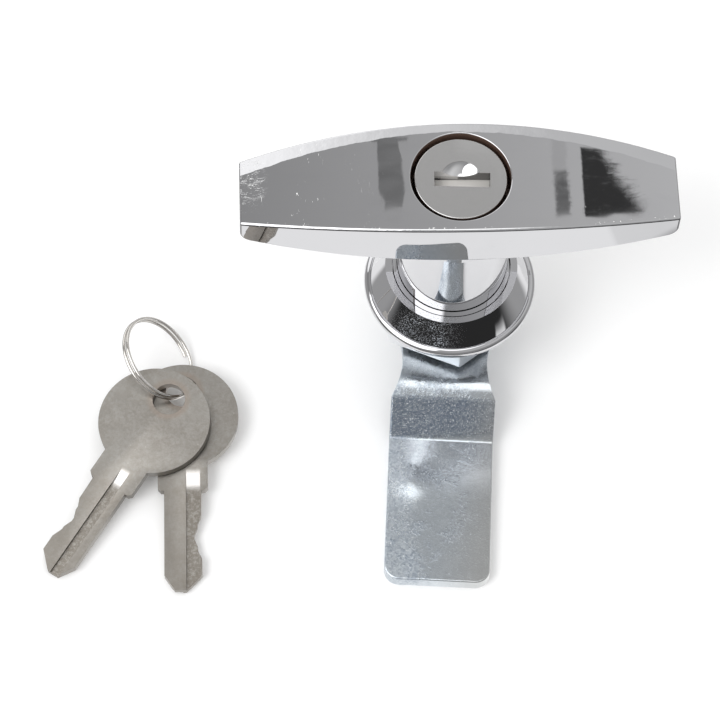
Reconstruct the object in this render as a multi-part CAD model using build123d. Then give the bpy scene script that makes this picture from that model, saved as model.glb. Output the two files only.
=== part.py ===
from build123d import *
from math import acos, asin, atan2, cos, degrees, pi, radians, sin, sqrt, tan
import os

# T-handle lock with a cranked cam and two keys on a split ring, in millimetres.
# +Z runs along the lock's axis, out of the panel. The handle lies along X and the cam points to -Y.
# The origin is on the axis, in the plane of the flange's back face, which is the face of the panel.

os.makedirs("parts", exist_ok=True)

# Clearances that all pieces share
running_gap = 0.05
slide_gap = 0.05
seat_gap = 0.3

# Handle bar and stem
handle_length = 90.0
handle_mid_width = 25.6
handle_end_width = 14.8
handle_mid_depth = 12.25
handle_end_depth = 6.25
handle_end_rise = 0.55
handle_corner_radius = 2.2
handle_face_round = 0.5
handle_low_round = 0.6
grip_height = 24.4
stem_radius = 11.9
stem_foot_gap = 0.25
stem_foot_drop = 0.15
face_bore_round = 0.2

# Housing: flange and sleeve
flange_radius = 18.4
flange_height = 7.5
flange_rim_round = 1.3
flange_rim_height = 1.6
flange_ring_width = 1.45
flange_floor = 1.2
mouth_gap = 0.75
sleeve_radius = 11.0
sleeve_length = 9.2
sleeve_flats = 20.4
stop_lug_height = 1.2
stop_lug_wall = 1.7

# Shaft below the stem
shaft_radius = 8.4
square_side = 8.0
o_ring_section = 1.75
o_ring_depth = 4.0
screw_radius = 3.0
screw_length = 14.0

# Nut
nut_across_flats = 28.3
nut_thickness = 5.5
nut_chamfer = 0.7
nut_turn = 6.8
panel_grip = 3.4

# Cam
cam_thickness = 3.0
cam_width = 22.4
cam_neck_width = 18.2
cam_hub_width = 20.8
cam_reach = 62.2
cam_neck_at = 14.5
cam_shoulder_at = 7.0
cam_crank_at = 17.3
cam_crank_angle = 40.0
cam_outer_bend = 8.0
cam_inner_bend = 1.0
cam_corner_radius = 3.2
cam_edge_round = 0.35
cam_play_turn = 4.1

# Pieces that hold the cam
stop_washer_thickness = 1.2
stop_tab_width = 6.0
stop_tab_angle = 45.0
flat_washer_radius = 7.0
flat_washer_thickness = 1.5
spring_washer_radius = 5.6
spring_washer_thickness = 1.85
spring_washer_slit = 0.8
screw_head_flats = 10.0
screw_head_height = 4.0
screw_head_chamfer = 0.5

# Plug, its face and the keyway
plug_radius = 8.0
plug_head_radius = 9.3
plug_head_height = 3.0
face_radius = 9.48
face_thickness = 2.9
face_recess = 0.8
face_bore_radius = 10.3
face_edge_round = 0.25
plug_rest_turn = -2.5
keyway_shift = 0.3
slot_length = 11.4
slot_low_edge = 1.9
slot_high_edge = 1.5
hollow_radius = 4.1
hollow_depth = 2.0
hollow_shift = -0.25

# Dust shutter
shutter_thickness = 0.5
shutter_reach = 3.95
shutter_pin_radius = 0.35
shutter_pin_length = 13.0
shutter_pin_height = 0.6
shutter_spring_length = 1.3

# Wafers
wafer_count = 5
wafer_pitch = 2.6
wafer_first = 2.7
wafer_thickness = 1.0
wafer_width = 6.0
wafer_travel = 1.2
wafer_window_width = 2.5
wafer_ear_width = 1.2
wafer_ear_reach = 1.4
wafer_spring_radius = 0.5
wafer_spring_length = 3.4

# Locking bolt, its driver and the pin that holds the plug
bolt_nose_width = 5.0
bolt_body_width = 7.4
bolt_height = 3.3
bolt_lip = 0.8
bolt_tail = 4.6
bolt_step = 7.0
driver_thickness = 2.0
driver_boss_side = 4.0
driver_boss_height = 1.3
driver_pin_radius = 1.2
driver_throw = 1.5
retaining_pin_radius = 1.0
retaining_pin_height = 16.0
retaining_pin_depth = 1.05
retaining_pin_tail = 5.0

# Keys
key_thickness = 2.0
key_bow_radius = 12.05
key_hole_radius = 3.5
key_hole_offset = 5.75
key_shoulder_width = 10.7
key_shoulder_at = 17.3
key_blade_width = 8.0
key_blade_length = 22.6
key_tip_width = 2.4
key_tip_slope = 3.4
key_tip_shift = 0.6
key_cut_1 = 0.1
key_cut_2 = 0.15
key_cut_3 = 0.95
key_cut_4 = 1.65
key_cut_5 = 0.9
key_cut_depths = (key_cut_1, key_cut_2, key_cut_3, key_cut_4, key_cut_5)
key_cut_land = 0.8
key_groove_depth = 0.7
key_groove_runout = 20.0
key_groove_start = 18.0
key_groove_side = 0.65
key_groove_width = 3.0
key_back_groove_side = 0.1
key_back_groove_width = 2.1

# Split ring
ring_radius = 9.4
ring_wire_radius = 0.36
ring_pitch = 1.15
ring_turns = 1.9
ring_end_angle = 28.0

# Where the keys and their ring lie beside the lock. A key's place is its hole's centre on the side that
# faces the table, counted from the table. The ring leans through both holes and stands on the table.
# Turns are about Z, X and Y, in degrees.
key_1_x = -60.519
key_1_y = -20.074
key_1_height = 5.24
key_1_turn = (-33.955, 6.53, -0.73)
key_2_x = -57.759
key_2_y = -17.038
key_2_height = 2.749
key_2_turn = (-0.079, 3.4, -1.82)
ring_x = -62.689
ring_y = -10.248
ring_lift = 0.421
ring_turn = (0.0, -4.672, 41.709)

# Heights that follow from the sizes
bar_low_z = flange_height + grip_height
face_z = bar_low_z + handle_mid_depth
stem_low_z = flange_floor + slide_gap * 4
shaft_low_z = -(sleeve_length + seat_gap)
hub_top_z = shaft_low_z - stop_washer_thickness
hub_low_z = hub_top_z - cam_thickness
cam_drop = flat_washer_thickness + spring_washer_thickness + screw_head_height
table_z = hub_low_z - cam_drop
plug_face_z = face_z - face_recess
plug_top_z = plug_face_z - face_thickness
shelf_z = plug_top_z - plug_head_height - slide_gap
pocket_floor_z = plug_top_z - shutter_pin_height - shutter_reach - 2 * slide_gap
key_tip_z = pocket_floor_z - key_blade_length
bolt_low_z = stem_low_z + bolt_lip
bolt_top_z = bolt_low_z + bolt_height
plug_floor_z = bolt_top_z + bolt_lip + slide_gap
driver_low_z = plug_floor_z + 2 * slide_gap
plug_low_z = driver_low_z + driver_thickness
shell_radius = plug_radius + running_gap
sleeve_bore_radius = shaft_radius + running_gap
mouth_radius = stem_radius + mouth_gap
stem_foot_radius = mouth_radius - stem_foot_gap
screw_hole_radius = screw_radius + running_gap
bolt_travel = 2 * driver_throw * sin(radians(45))
key_half = key_thickness / 2


def ring_between(outer, inner, low, high):
    """A flat ring about the lock's axis."""
    ring = Cylinder(outer, high - low) - Cylinder(inner, 3 * (high - low))
    return Pos(0, 0, (low + high) / 2) * ring


def disc(radius, low, high):
    """A round block about the lock's axis."""
    return Pos(0, 0, (low + high) / 2) * Cylinder(radius, high - low)


def block(x_low, x_high, y_low, y_high, z_low, z_high):
    """A box between two corners."""
    centre = Pos((x_low + x_high) / 2, (y_low + y_high) / 2, (z_low + z_high) / 2)
    return centre * Box(x_high - x_low, y_high - y_low, z_high - z_low)


def outline(*edges):
    """A flat face inside edges that meet end to end."""
    return Face(Wire(edges))


def polar(radius, angle, centre=(0, 0)):
    """A point at an angle in degrees from +X."""
    return (centre[0] + radius * cos(radians(angle)), centre[1] + radius * sin(radians(angle)))


def handle_bar():
    """Lens-shaped bar: a plan with two long arcs, met by a side view with a crowned face."""
    end_x = handle_length / 2
    mid_y = handle_mid_width / 2
    end_y = handle_end_width / 2
    plan = outline(
        ThreePointArc((-end_x, end_y), (0, mid_y), (end_x, end_y)),
        Line((end_x, end_y), (end_x, -end_y)),
        ThreePointArc((end_x, -end_y), (0, -mid_y), (-end_x, -end_y)),
        Line((-end_x, -end_y), (-end_x, end_y)),
    )
    low = bar_low_z + handle_end_rise
    high = low + handle_end_depth
    r = handle_corner_radius
    left = (r - end_x, low + r)
    right = (end_x - r, low + r)
    side = outline(
        ThreePointArc((-end_x, high), (0, face_z), (end_x, high)),
        Line((end_x, high), (end_x, low + r)),
        ThreePointArc((end_x, low + r), polar(r, -45, right), (end_x - r, low)),
        ThreePointArc((end_x - r, low), (0, bar_low_z), (r - end_x, low)),
        ThreePointArc((r - end_x, low), polar(r, -135, left), (-end_x, low + r)),
        Line((-end_x, low + r), (-end_x, high)),
    )
    spare = handle_corner_radius / 2
    tall = extrude(Pos(0, 0, bar_low_z - spare) * plan, handle_mid_depth + 2 * spare, dir=(0, 0, 1))
    wide = extrude(Plane.XZ * side, handle_mid_width, both=True)
    bar = tall & wide
    bar = fillet([e for e in bar.edges() if is_low_side_edge(e)], handle_low_round)
    rims = bar.faces().sort_by(Axis.Z)[-1].edges()
    return fillet(rims, handle_face_round)


def is_low_side_edge(edge):
    """True for the edges where the bar's long sides meet its underside and its rounded ends."""
    box = edge.bounding_box()
    low = box.max.Z < bar_low_z + handle_end_rise + handle_corner_radius * 1.1
    return low and box.size.X > handle_face_round and abs(edge.center().Y) > handle_end_width / 3


def is_bore_rim(edge):
    """True for the edge where the bore for the plug's face meets the crowned face."""
    box = edge.bounding_box()
    reach = max(abs(box.min.X), box.max.X, abs(box.min.Y), box.max.Y)
    return box.min.Z > plug_face_z - face_thickness and reach < face_bore_radius + slide_gap


def bolt_channel():
    """The stepped guide that the locking bolt slides in."""
    nose = bolt_nose_width / 2 + slide_gap
    body = bolt_body_width / 2 + slide_gap
    low = bolt_low_z - slide_gap
    high = bolt_top_z + slide_gap
    tail_y = -(bolt_tail + seat_gap)
    step_y = bolt_step + bolt_travel + seat_gap
    wide = block(-body, body, tail_y, step_y, low, high)
    narrow = block(-nose, nose, tail_y, mouth_radius, low, high)
    return wide + narrow


def wafer_heights():
    """Mid-heights of the wafers, from the pocket's floor down."""
    return [pocket_floor_z - wafer_first - wafer_pitch * i for i in range(wafer_count)]


def wafer_channels():
    """Four grooves in the stem's bore that take the wafers when the key is out."""
    turned = plug_radius * sin(radians(abs(plug_rest_turn)))
    half = wafer_width / 2 + turned + seat_gap
    reach = plug_radius + wafer_travel + seat_gap
    low = wafer_heights()[-1] - wafer_thickness
    across = block(-reach, reach, -half, half, low, shelf_z + slide_gap)
    return across + Rot(Z=90) * across


def t_handle():
    """Bar, stem, shaft and square end, cast in one, with the bores for the lock."""
    body = handle_bar()
    body += disc(stem_radius, stem_low_z, bar_low_z + handle_mid_depth / 3)
    body += disc(stem_foot_radius, stem_low_z, flange_height - stem_foot_drop)
    body += disc(shaft_radius, shaft_low_z, stem_low_z + bolt_lip)
    square_low = hub_low_z + seat_gap
    body += block(
        -square_side / 2, square_side / 2, -square_side / 2, square_side / 2, square_low, shaft_low_z
    )
    groove_floor = shaft_radius + running_gap / 2 - o_ring_section - running_gap
    half_groove = o_ring_section / 2 + 2 * slide_gap
    body -= ring_between(shaft_radius + 1, groove_floor, -o_ring_depth - half_groove, half_groove - o_ring_depth)
    body -= disc(face_bore_radius, shelf_z, face_z + 1)
    body = fillet([e for e in body.edges() if is_bore_rim(e)], face_bore_round)
    body -= disc(shell_radius, plug_floor_z, shelf_z + 1)
    body -= disc(driver_throw + driver_pin_radius + seat_gap, bolt_top_z, plug_floor_z + 1)
    body -= disc(screw_hole_radius, square_low - 1, table_z + screw_head_height + screw_length + seat_gap)
    body -= wafer_channels()
    body -= bolt_channel()
    body -= retaining_pin(running_gap / 5, stem_radius)
    return body


def retaining_pin(extra=0.0, end_y=None):
    """The cross pin beside the plug, or the hole for it when it is grown by a little."""
    pin_x = plug_radius - retaining_pin_depth + retaining_pin_radius
    if end_y is None:
        end_y = sqrt(stem_radius**2 - (pin_x + retaining_pin_radius) ** 2) - slide_gap
    length = end_y + retaining_pin_tail + extra
    middle = (end_y - retaining_pin_tail - extra) / 2
    pin = Rot(X=90) * Cylinder(retaining_pin_radius + extra, length)
    return Pos(pin_x, middle, retaining_pin_height) * pin


def flange_profile():
    """Half section of the housing, radius along X and height along Y."""
    ring_r = mouth_radius + flange_ring_width
    foot_r = flange_radius - flange_rim_round
    rim_z = flange_rim_height - flange_rim_round
    rim_centre = (foot_r, rim_z)
    return outline(
        Line((sleeve_bore_radius, -sleeve_length), (sleeve_radius, -sleeve_length)),
        Line((sleeve_radius, -sleeve_length), (sleeve_radius, 0)),
        Line((sleeve_radius, 0), (flange_radius, 0)),
        Line((flange_radius, 0), (flange_radius, rim_z)),
        ThreePointArc((flange_radius, rim_z), polar(flange_rim_round, 45, rim_centre), (foot_r, flange_rim_height)),
        Line((foot_r, flange_rim_height), (ring_r, flange_height)),
        Line((ring_r, flange_height), (mouth_radius, flange_height)),
        Line((mouth_radius, flange_height), (mouth_radius, flange_floor)),
        Line((mouth_radius, flange_floor), (sleeve_bore_radius, flange_floor)),
        Line((sleeve_bore_radius, flange_floor), (sleeve_bore_radius, -sleeve_length)),
    )


def stop_lug():
    """The long lug under the sleeve that leaves the stop washer's tab a quarter turn."""
    inner = sleeve_radius - stop_lug_wall
    half_tab = degrees(asin((stop_tab_width / 2 + seat_gap) / inner))
    start = stop_tab_angle + 90 + half_tab
    sweep_angle = 360 - 90 - 2 * half_tab
    low = -(sleeve_length + stop_lug_height)
    section = outline(
        Line((inner, low), (sleeve_radius, low)),
        Line((sleeve_radius, low), (sleeve_radius, seat_gap - sleeve_length)),
        Line((sleeve_radius, seat_gap - sleeve_length), (inner, seat_gap - sleeve_length)),
        Line((inner, seat_gap - sleeve_length), (inner, low)),
    )
    return Rot(Z=start) * revolve(Plane.XZ * section, Axis.Z, sweep_angle)


def escutcheon_housing():
    """Flange, threaded sleeve with two flats, stop lug and the two notches for the bolt."""
    body = revolve(Plane.XZ * flange_profile(), Axis.Z, 360)
    body += stop_lug()
    low = -(sleeve_length + stop_lug_height + 1)
    for side in (-1, 1):
        centre_x = side * (sleeve_flats + flange_radius) / 2
        body -= Pos(centre_x, 0, low / 2) * Box(flange_radius, 2 * flange_radius, -low)
    half = bolt_nose_width / 2 + seat_gap
    reach = stem_radius - slide_gap * 4 + bolt_travel + seat_gap
    notch = block(-half, half, sleeve_radius, reach, bolt_low_z - seat_gap, bolt_top_z + seat_gap)
    body -= notch
    body -= Rot(Z=90) * notch
    return body


def hex_nut():
    """Hexagon nut on the sleeve, chamfered towards the panel."""
    corner_r = nut_across_flats / sqrt(3)
    high = -panel_grip
    low = high - nut_thickness
    hexagon = RegularPolygon(nut_across_flats / 2, 6, major_radius=False)
    nut = extrude(Pos(0, 0, low) * hexagon, nut_thickness)
    top_r = corner_r - nut_chamfer / tan(radians(30))
    section = outline(
        Line((0, low), (corner_r, low)),
        Line((corner_r, low), (corner_r, high - nut_chamfer)),
        Line((corner_r, high - nut_chamfer), (top_r, high)),
        Line((top_r, high), (0, high)),
        Line((0, high), (0, low)),
    )
    nut &= revolve(Plane.XZ * section, Axis.Z, 360)
    nut -= disc(sleeve_radius + running_gap, low - 1, high + 1)
    return Rot(Z=nut_turn - 90) * nut


def cam_side():
    """Side view of the cam: distance from the axis along X, height over the hub's top along Y."""
    a = radians(cam_crank_angle)
    t = cam_thickness
    r1 = cam_outer_bend
    r2 = cam_inner_bend
    slope = (cam_drop - (r1 + r2) * (1 - cos(a))) / sin(a)
    back = -cam_width
    front = cam_reach + 1
    c1 = (cam_crank_at, -r1)
    top_1 = polar(r1, 90 - cam_crank_angle, c1)
    low_1 = polar(r1 - t, 90 - cam_crank_angle, c1)
    step = (slope * cos(a), -slope * sin(a))
    top_2 = (top_1[0] + step[0], top_1[1] + step[1])
    low_2 = (low_1[0] + step[0], low_1[1] + step[1])
    c2 = (top_2[0] + r2 * sin(a), top_2[1] + r2 * cos(a))
    half = cam_crank_angle / 2
    return outline(
        Line((back, 0), (c1[0], 0)),
        ThreePointArc((c1[0], 0), polar(r1, 90 - half, c1), top_1),
        Line(top_1, top_2),
        ThreePointArc(top_2, polar(r2, -90 - half, c2), (c2[0], c2[1] - r2)),
        Line((c2[0], c2[1] - r2), (front, c2[1] - r2)),
        Line((front, c2[1] - r2), (front, c2[1] - r2 - t)),
        Line((front, c2[1] - r2 - t), (c2[0], c2[1] - r2 - t)),
        ThreePointArc((c2[0], c2[1] - r2 - t), polar(r2 + t, -90 - half, c2), low_2),
        Line(low_2, low_1),
        ThreePointArc(low_1, polar(r1 - t, 90 - half, c1), (c1[0], -t)),
        Line((c1[0], -t), (back, -t)),
        Line((back, -t), (back, 0)),
    )


def cam_plan():
    """Plan of the cam: round hub, waisted neck, wide blade with rounded corners, pointing to -Y."""
    hub = cam_hub_width / 2
    neck = cam_neck_width / 2
    wide = cam_width / 2
    blade_y = -(2 * cam_neck_at - cam_shoulder_at)
    tip = -cam_reach
    r = cam_corner_radius
    right = (wide - r, tip + r)
    left = (r - wide, tip + r)
    return outline(
        ThreePointArc((hub, 0), (0, hub), (-hub, 0)),
        Line((-hub, 0), (-hub, -cam_shoulder_at)),
        ThreePointArc((-hub, -cam_shoulder_at), (-neck, -cam_neck_at), (-wide, blade_y)),
        Line((-wide, blade_y), (-wide, tip + r)),
        ThreePointArc((-wide, tip + r), polar(r, -135, left), (r - wide, tip)),
        Line((r - wide, tip), (wide - r, tip)),
        ThreePointArc((wide - r, tip), polar(r, -45, right), (wide, tip + r)),
        Line((wide, tip + r), (wide, blade_y)),
        ThreePointArc((wide, blade_y), (neck, -cam_neck_at), (hub, -cam_shoulder_at)),
        Line((hub, -cam_shoulder_at), (hub, 0)),
    )


def cam():
    """Cranked cam. Its square hole is larger than the shaft's end by the play that it hangs in."""
    side_plane = Plane(origin=(0, 0, hub_top_z), x_dir=(0, -1, 0), z_dir=(-1, 0, 0))
    strip = extrude(side_plane * cam_side(), cam_width, both=True)
    column = extrude(Pos(0, 0, table_z - 1) * cam_plan(), hub_top_z - table_z + 2, dir=(0, 0, 1))
    body = strip & column
    blade_top = [e for e in body.edges() if is_blade_rim(e)]
    body = fillet(blade_top, cam_edge_round)
    play = radians(cam_play_turn)
    hole = square_side * (cos(play) + sin(play)) + 2 * slide_gap
    body -= block(-hole / 2, hole / 2, -hole / 2, hole / 2, hub_low_z - 1, hub_top_z + 1)
    return Rot(Z=-cam_play_turn) * body


def is_blade_rim(edge):
    """True for the long upper rim of the cam's flat blade, its corners and tip."""
    top = hub_top_z - cam_drop
    box = edge.bounding_box()
    flat = box.max.Z - box.min.Z < 0.01 and abs(box.max.Z - top) < 0.01
    across = box.size.X > 0.9 * cam_width and box.max.Y > -cam_reach + 1
    return flat and not across


def stop_washer():
    """Washer on the square end, with the tab that meets the stop lug."""
    inner = sleeve_radius - stop_lug_wall - seat_gap
    low = hub_top_z
    high = shaft_low_z
    tab = block(0, sleeve_radius - seat_gap, -stop_tab_width / 2, stop_tab_width / 2, low, high)
    washer = disc(inner, low, high) + Rot(Z=stop_tab_angle) * tab
    half = square_side / 2 + slide_gap
    return washer - block(-half, half, -half, half, low - 1, high + 1)


def stem_o_ring():
    """Seal in the shaft's groove."""
    section = o_ring_section / 2
    centre_r = shaft_radius + running_gap / 2 - section
    return Pos(0, 0, -o_ring_depth) * Torus(centre_r, section)


def flat_washer():
    """Washer under the cam's hub."""
    low = hub_low_z - flat_washer_thickness
    return ring_between(flat_washer_radius, screw_radius + slide_gap * 4, low, hub_low_z)


def spring_washer():
    """Split washer, pressed flat, with its slanted slit."""
    high = hub_low_z - flat_washer_thickness
    low = high - spring_washer_thickness
    ring = ring_between(spring_washer_radius, screw_radius + slide_gap * 2, low, high)
    slit = Rot(X=0, Y=30) * Box(spring_washer_slit, 2 * spring_washer_radius, 4 * spring_washer_thickness)
    return ring - Pos(0, spring_washer_radius, (low + high) / 2) * slit


def cam_screw():
    """Hexagon head screw into the shaft; its head stands level with the cam's blade."""
    head_high = table_z + screw_head_height
    corner_r = screw_head_flats / sqrt(3)
    hexagon = RegularPolygon(screw_head_flats / 2, 6, major_radius=False)
    head = extrude(Pos(0, 0, table_z) * hexagon, screw_head_height)
    low_r = corner_r - screw_head_chamfer / tan(radians(30))
    section = outline(
        Line((0, table_z), (low_r, table_z)),
        Line((low_r, table_z), (corner_r, table_z + screw_head_chamfer)),
        Line((corner_r, table_z + screw_head_chamfer), (corner_r, head_high)),
        Line((corner_r, head_high), (0, head_high)),
        Line((0, head_high), (0, table_z)),
    )
    head &= revolve(Plane.XZ * section, Axis.Z, 360)
    return Rot(Z=11) * head + disc(screw_radius, head_high - 0.1, head_high + screw_length)


def keyway_block(length, low_y, high_y, low_z, high_z):
    """A box along X, centred on the keyway."""
    half = length / 2
    return block(keyway_shift - half, keyway_shift + half, low_y, high_y, low_z, high_z)


def plug_face():
    """Face disc of the plug: long slot, and a hollow behind the slot's middle for a finger tip."""
    body = disc(face_radius, plug_top_z, plug_face_z)
    rim = body.faces().sort_by(Axis.Z)[-1].edges()
    body = fillet(rim, face_edge_round)
    ball_r = (hollow_radius**2 + hollow_depth**2) / (2 * hollow_depth)
    ball_z = plug_face_z - hollow_depth + ball_r
    ball = Pos(keyway_shift + hollow_shift, 0, ball_z) * Sphere(ball_r)
    body -= ball & block(-face_radius, face_radius, 0, face_radius, plug_top_z, plug_face_z + 1)
    return body - keyway_block(slot_length, -slot_low_edge, slot_high_edge, plug_top_z - 1, plug_face_z + 1)


def shutter_pin_place():
    """Height and distance behind the slot of the shutter's hinge axis."""
    return slot_high_edge + shutter_pin_radius + seat_gap, plug_top_z - shutter_pin_height


def pocket_reach():
    """The pocket under the face that the shutter swings in, as low and high Y."""
    hinge_y, hinge_z = shutter_pin_place()
    return hinge_y - shutter_reach - seat_gap, hinge_y + shutter_pin_height + seat_gap


def lock_plug():
    """Turning cylinder with the shutter pocket, keyway, wafer slots, spring pockets and pin groove."""
    body = disc(plug_radius, plug_low_z, plug_top_z)
    body += disc(plug_head_radius, shelf_z + slide_gap, plug_top_z)
    low_y, high_y = pocket_reach()
    body -= keyway_block(slot_length + seat_gap, low_y, high_y, pocket_floor_z, plug_top_z + 1)
    hinge_y, hinge_z = shutter_pin_place()
    pin_hole = Rot(Y=90) * Cylinder(shutter_pin_radius + slide_gap, shutter_pin_length + seat_gap)
    body -= Pos(keyway_shift, hinge_y, hinge_z) * pin_hole
    way = key_half + 3 * slide_gap
    blade = key_blade_width + 2 * seat_gap
    body -= keyway_block(blade, -way, way, key_tip_z - seat_gap, pocket_floor_z + 1)
    slot_half = wafer_thickness / 2 + slide_gap
    guide = wafer_width / 2 + slide_gap
    ear_y = guide + wafer_ear_reach + slide_gap
    for z in wafer_heights():
        body -= block(-plug_radius, plug_radius, -guide, guide, z - slot_half, z + slot_half)
        pocket_low = -(wafer_ear_width / 2 + wafer_travel + seat_gap)
        pocket_high = wafer_ear_width / 2 + slide_gap * 2 + wafer_spring_length
        body -= block(pocket_low, pocket_high, 0, ear_y, z - slot_half, z + slot_half)
    groove = retaining_pin_radius + 2 * slide_gap
    groove_r = plug_radius - retaining_pin_depth - 2 * slide_gap
    low = retaining_pin_height - groove
    high = retaining_pin_height + groove
    body -= ring_between(plug_radius + 1, groove_r, low, high)
    half = driver_boss_side / 2 + slide_gap
    boss_top = plug_low_z + driver_boss_height + slide_gap
    body -= block(-half, half, -half, half, plug_low_z - 1, boss_top)
    return body


def bolt_driver():
    """Disc under the plug with a square boss above and an eccentric pin below."""
    body = disc(plug_radius - slide_gap, driver_low_z, plug_low_z)
    half = driver_boss_side / 2
    body += block(-half, half, -half, half, plug_low_z, plug_low_z + driver_boss_height)
    pin_x, pin_y = polar(driver_throw, -45 - plug_rest_turn)
    pin_low = bolt_low_z + seat_gap
    pin = Cylinder(driver_pin_radius, driver_low_z - pin_low)
    return body + Pos(pin_x, pin_y, (driver_low_z + pin_low) / 2) * pin


def locking_bolt():
    """Sliding bolt, drawn back, with the cross slot that the driver's pin runs in."""
    nose = bolt_nose_width / 2
    half = bolt_body_width / 2
    tip_y = stem_radius - slide_gap * 4
    body = block(-half, half, -bolt_tail, bolt_step, bolt_low_z, bolt_top_z)
    body += block(-nose, nose, 0, tip_y, bolt_low_z, bolt_top_z)
    nearest = driver_throw * cos(radians(45)) - driver_pin_radius - seat_gap
    furthest = driver_throw + driver_pin_radius + seat_gap / 2
    middle_y = -driver_throw * sin(radians(45))
    slot_half = driver_pin_radius + seat_gap / 2
    return body - block(
        nearest, furthest, middle_y - slot_half, middle_y + slot_half, bolt_low_z - 1, bolt_top_z + 1
    )


def dust_shutter():
    """Flap under the slot, curled round its pin."""
    hinge_y, hinge_z = shutter_pin_place()
    curl_r = shutter_pin_height - 2 * slide_gap
    left = keyway_shift - slot_length / 2 + shutter_spring_length + slide_gap
    right = keyway_shift + slot_length / 2
    high = hinge_z + curl_r
    flap = keyway_block(slot_length, hinge_y - shutter_reach, hinge_y, high - shutter_thickness, high)
    curl = Pos((left + right) / 2, hinge_y, hinge_z) * (Rot(Y=90) * Cylinder(curl_r, right - left))
    hole = Rot(Y=90) * Cylinder(shutter_pin_radius + running_gap, 2 * slot_length)
    spring_room = block(
        keyway_shift - slot_length, left, hinge_y - curl_r - seat_gap, hinge_y + curl_r, hinge_z - 2, high + 1
    )
    return flap + curl - Pos(keyway_shift, hinge_y, hinge_z) * hole - spring_room


def shutter_pin():
    """Hinge pin of the shutter."""
    hinge_y, hinge_z = shutter_pin_place()
    return Pos(keyway_shift, hinge_y, hinge_z) * (Rot(Y=90) * Cylinder(shutter_pin_radius, shutter_pin_length))


def shutter_spring():
    """Space of the shutter's small torsion spring on the pin."""
    hinge_y, hinge_z = shutter_pin_place()
    outer = shutter_pin_height - 2 * slide_gap
    tube = Cylinder(outer, shutter_spring_length - slide_gap)
    tube -= Cylinder(shutter_pin_radius + running_gap, 2 * shutter_spring_length)
    centre_x = keyway_shift - (slot_length - shutter_spring_length) / 2
    return Pos(centre_x, hinge_y, hinge_z) * (Rot(Y=90) * tube)


def wafer(index, z):
    """Wafer with its window for one key cut and the ear that its spring presses on."""
    low = z - wafer_thickness / 2
    high = z + wafer_thickness / 2
    half = wafer_width / 2
    body = disc(plug_radius - slide_gap, low, high)
    body &= block(-plug_radius, plug_radius, -half, half, low, high)
    ear = wafer_ear_width / 2
    body += block(-ear, ear, 0, half + wafer_ear_reach, low, high)
    left = keyway_shift - key_blade_width / 2 - wafer_travel - seat_gap
    right = keyway_shift + key_blade_width / 2 - key_cut_depths[index] + slide_gap
    window = wafer_window_width / 2
    return body - block(left, right, -window, window, low - 1, high + 1)


def wafer_spring(z):
    """Space of one wafer's compressed coil spring."""
    tube = Cylinder(wafer_spring_radius, wafer_spring_length)
    tube -= Cylinder(wafer_spring_radius / 2, 2 * wafer_spring_length)
    centre_x = wafer_ear_width / 2 + slide_gap + wafer_spring_length / 2
    centre_y = wafer_width / 2 + slide_gap + wafer_ear_reach / 2
    return Pos(centre_x, centre_y, z) * (Rot(Y=90) * tube)


def cut_edge_points():
    """The bitted edge of the blade, from its root to the tip, as straight lands and slopes."""
    half = key_blade_width / 2
    root = -key_shoulder_at
    points = [(half, root)]
    for i, depth in enumerate(key_cut_depths):
        centre = root - wafer_first - i * wafer_pitch
        points.append((half - depth, centre + key_cut_land / 2))
        points.append((half - depth, centre - key_cut_land / 2))
    last = root - wafer_first - wafer_count * wafer_pitch
    points.append((half, last))
    return points


def key_outline():
    """Round bow, shouldered neck and bitted blade, tip towards -Y."""
    half = key_blade_width / 2
    shoulder = key_shoulder_width / 2
    root = -key_shoulder_at
    tip = root - key_blade_length
    tip_half = key_tip_width / 2
    side = cut_edge_points() + [(half, tip + key_tip_slope)]
    side += [(tip_half - key_tip_shift, tip), (-tip_half - key_tip_shift, tip)]
    side += [(-half, tip + key_tip_slope), (-half, root)]
    blade = make_face(Polyline(*side, close=True))
    step = (shoulder - half) / 2
    neck = make_face(
        Polyline(
            (shoulder, 0),
            (shoulder, root + step),
            (shoulder - step, root),
            (step - shoulder, root),
            (-shoulder, root + step),
            (-shoulder, 0),
            close=True,
        )
    )
    return Circle(key_bow_radius) + neck + blade - Pos(0, key_hole_offset) * Circle(key_hole_radius)


def key_groove(side, width):
    """Milled groove beside the blade's middle, open at the tip, with the cutter's round run-out."""
    top = key_thickness
    floor = top - key_groove_depth
    start = -key_groove_start
    runout = sqrt(2 * key_groove_runout * key_groove_depth)
    middle = key_groove_runout - sqrt(key_groove_runout**2 - (runout / 2) ** 2)
    end = -(key_shoulder_at + key_blade_length + 1)
    section = outline(
        Line((end, floor), (start, floor)),
        ThreePointArc((start, floor), (start + runout / 2, floor + middle), (start + runout, top)),
        Line((start + runout, top), (start + runout, top + 1)),
        Line((start + runout, top + 1), (end, top + 1)),
        Line((end, top + 1), (end, floor)),
    )
    across = Plane(origin=(side, 0, 0), x_dir=(0, 1, 0), z_dir=(1, 0, 0))
    return extrude(across * section, width, dir=(1, 0, 0))


def key_blank():
    """Key with its underside at Z = 0 and a groove on each face."""
    body = extrude(key_outline(), key_thickness, dir=(0, 0, 1))
    body -= key_groove(key_groove_side, key_groove_width)
    back = key_groove(key_back_groove_side, key_back_groove_width)
    body -= Pos(0, 0, key_thickness) * (Rot(Y=180) * back)
    return body


def lying(place, turn, shape):
    """Puts a shape on the table: height counted from the table, then turn, pitch and roll."""
    x, y, height = place
    return Pos(x, y, table_z + height) * (Rot(Z=turn[0]) * (Rot(X=turn[1]) * (Rot(Y=turn[2]) * shape)))


def key_1():
    """Upper key, turned over, its bitted edge to the left."""
    flipped = Pos(0, -key_hole_offset, key_thickness) * (Rot(Y=180) * key_blank())
    return lying((key_1_x, key_1_y, key_1_height), key_1_turn, flipped)


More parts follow.
